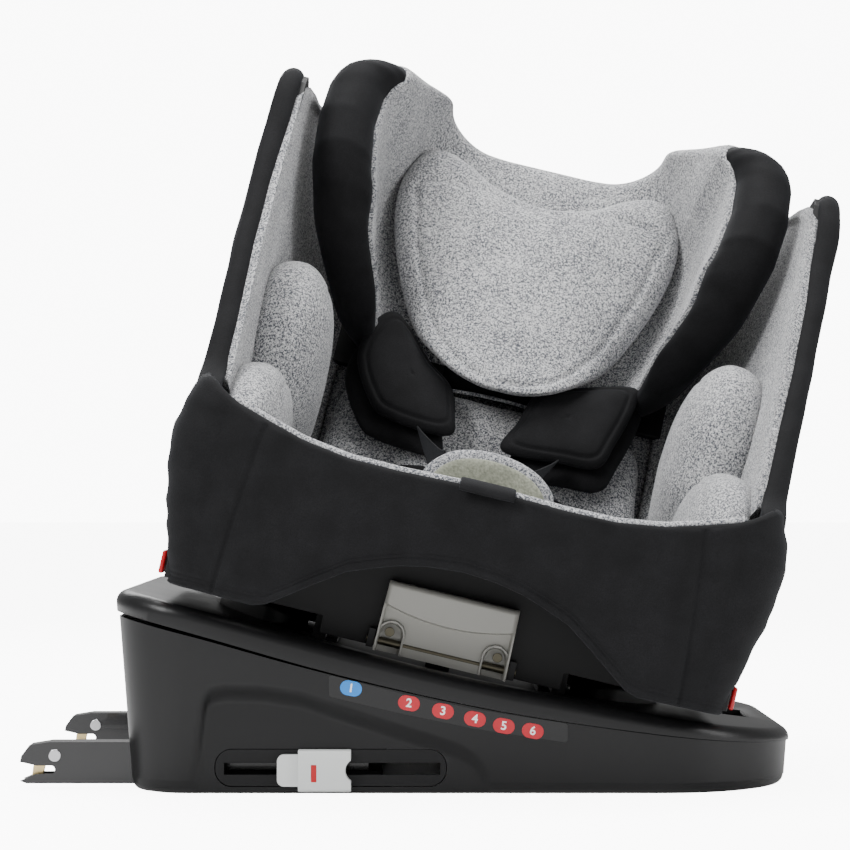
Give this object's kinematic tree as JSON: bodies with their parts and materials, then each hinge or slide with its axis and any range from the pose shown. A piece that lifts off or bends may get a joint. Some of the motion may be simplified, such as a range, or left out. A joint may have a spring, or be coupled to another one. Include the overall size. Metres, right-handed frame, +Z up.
{
  "type": "convertible child car seat",
  "caption": "Swivelling child car seat on a sloped base with sliding latch arms, a reclining padded bucket, sliding winged headrest and harness pads.",
  "frame": {"origin": "centre of the base's flat underside", "axes": "+X towards the base's low nose (vehicle front), -X towards the latch arms, +Z up; at rest the seat faces -Y"},
  "size_m": [0.6241, 0.5168, 0.5675],
  "materials": {
    "base_shell": "moulded, satin",
    "dark_plastic": "moulded, matt",
    "strip_film": "printed film",
    "blue_label": "printed",
    "red_label": "printed",
    "mat_rubber": "matt",
    "arm_steel": "gloss black",
    "bright_steel": "plated",
    "gold_zinc": "zinc plated, yellow",
    "light_plastic": "moulded, satin",
    "red_plastic": "moulded",
    "handle_plastic": "moulded, satin",
    "runner_plastic": "moulded",
    "black_knit": "soft knit",
    "grey_melange": "melange knit",
    "webbing": "woven"
  },
  "bodies": {
    "base": {"base_housing": "base_shell", "base_cover": "base_shell", "underside_mat": "mat_rubber", "base_frame": "bright_steel", "bearing_ring": "bright_steel", "latch_guides": "dark_plastic", "slider_tracks": "dark_plastic", "indicator_strip": "strip_film", "label_blue": "blue_label", "labels_red": "red_label"},
    "latch_arm_right": {"latch_arm_right": "arm_steel", "latch_rivets_right": "bright_steel", "release_plate_right": "light_plastic"},
    "hook_right": {"latch_hook_right": "gold_zinc"},
    "sleeve_right": {"release_sleeve_right": "light_plastic", "lock_window_right": "red_plastic"},
    "latch_arm_left": {"latch_arm_left": "arm_steel", "latch_rivets_left": "bright_steel", "release_plate_left": "light_plastic"},
    "hook_left": {"latch_hook_left": "gold_zinc"},
    "sleeve_left": {"release_sleeve_left": "light_plastic", "lock_window_left": "red_plastic"},
    "turntable": {"turntable_disc": "dark_plastic", "spindle": "bright_steel", "recline_rails": "bright_steel", "position_rack": "bright_steel"},
    "seat": {"bucket_shell": "dark_plastic", "under_shell": "dark_plastic", "recline_runners": "runner_plastic", "front_apron": "dark_plastic", "handle_pin": "bright_steel", "front_cover": "black_knit", "wing_cover_right": "black_knit", "wing_cover_left": "black_knit", "seat_cushion": "grey_melange", "thigh_bolsters": "grey_melange", "back_cushion": "grey_melange", "back_cover": "black_knit", "newborn_insert": "grey_melange", "side_bolsters": "grey_melange", "harness_webbing": "webbing", "hip_straps": "webbing", "harness_tongues": "bright_steel", "buckle": "runner_plastic", "crotch_strap": "webbing", "crotch_pad": "grey_melange", "adjuster_tab": "black_knit"},
    "handle": {"recline_handle": "handle_plastic", "handle_screws": "bright_steel"},
    "buckle_button": {"buckle_button": "red_plastic"},
    "swivel_button_right": {"swivel_button_right": "red_plastic"},
    "swivel_button_left": {"swivel_button_left": "red_plastic"},
    "headrest": {"headrest_cover": "black_knit", "headrest_shell": "dark_plastic", "headrest_carrier": "bright_steel", "head_cushion": "grey_melange", "shoulder_pad_right": "black_knit", "shoulder_pad_left": "black_knit", "shoulder_straps": "webbing"}
  },
  "joints": [
    {"name": "latch_arm_slide_right", "type": "slide", "parent": "base", "child": "latch_arm_right", "axis": [1, 0, 0], "range_m": [-0.035, 0.06]},
    {"name": "hook_turn_right", "type": "hinge", "parent": "latch_arm_right", "child": "hook_right", "pos_m": [-0.305, -0.14, 0.0254], "axis": [0, 1, 0], "range_deg": [0, 40], "stiffness_Nm_per_rad": 0.2, "springref_deg": -8.59},
    {"name": "sleeve_slide_right", "type": "slide", "parent": "latch_arm_right", "child": "sleeve_right", "axis": [-1, 0, 0], "range_m": [0, 0.008], "stiffness_N_per_m": 300, "springref_m": -0.006},
    {"name": "latch_arm_slide_left", "type": "slide", "parent": "base", "child": "latch_arm_left", "axis": [1, 0, 0], "range_m": [-0.035, 0.06]},
    {"name": "hook_turn_left", "type": "hinge", "parent": "latch_arm_left", "child": "hook_left", "pos_m": [-0.305, 0.14, 0.0254], "axis": [0, 1, 0], "range_deg": [0, 40], "stiffness_Nm_per_rad": 0.2, "springref_deg": -8.59},
    {"name": "sleeve_slide_left", "type": "slide", "parent": "latch_arm_left", "child": "sleeve_left", "axis": [-1, 0, 0], "range_m": [0, 0.008], "stiffness_N_per_m": 300, "springref_m": -0.006},
    {"name": "swivel", "type": "hinge", "parent": "base", "child": "turntable", "pos_m": [-0.0203, 0, 0.0915], "axis": [0.2334, 0, 0.9724], "continuous": true},
    {"name": "recline", "type": "hinge", "parent": "turntable", "child": "seat", "pos_m": [0.05674, -0.02, 0.41238], "axis": [-0.9724, 0, 0.2334], "range_deg": [0, 18]},
    {"name": "headrest_slide", "type": "slide", "parent": "seat", "child": "headrest", "axis": [0.198, 0.5299, 0.8246], "range_m": [0, 0.16]},
    {"name": "recline_handle_turn", "type": "hinge", "parent": "seat", "child": "handle", "pos_m": [-0.0182, -0.159, 0.10025], "axis": [0.9724, 0, -0.2334], "range_deg": [0, 14], "stiffness_Nm_per_rad": 0.6, "springref_deg": -8.59},
    {"name": "buckle_button_push", "type": "slide", "parent": "seat", "child": "buckle_button", "axis": [0, 1, 0], "range_m": [0, 0.003], "stiffness_N_per_m": 800, "springref_m": -0.002},
    {"name": "swivel_button_push_right", "type": "slide", "parent": "seat", "child": "swivel_button_right", "axis": [0.9724, 0, -0.2334], "range_m": [0, 0.0025], "stiffness_N_per_m": 500, "springref_m": -0.002},
    {"name": "swivel_button_push_left", "type": "slide", "parent": "seat", "child": "swivel_button_left", "axis": [-0.9724, 0, 0.2334], "range_m": [0, 0.0025], "stiffness_N_per_m": 500, "springref_m": -0.002}
  ]
}
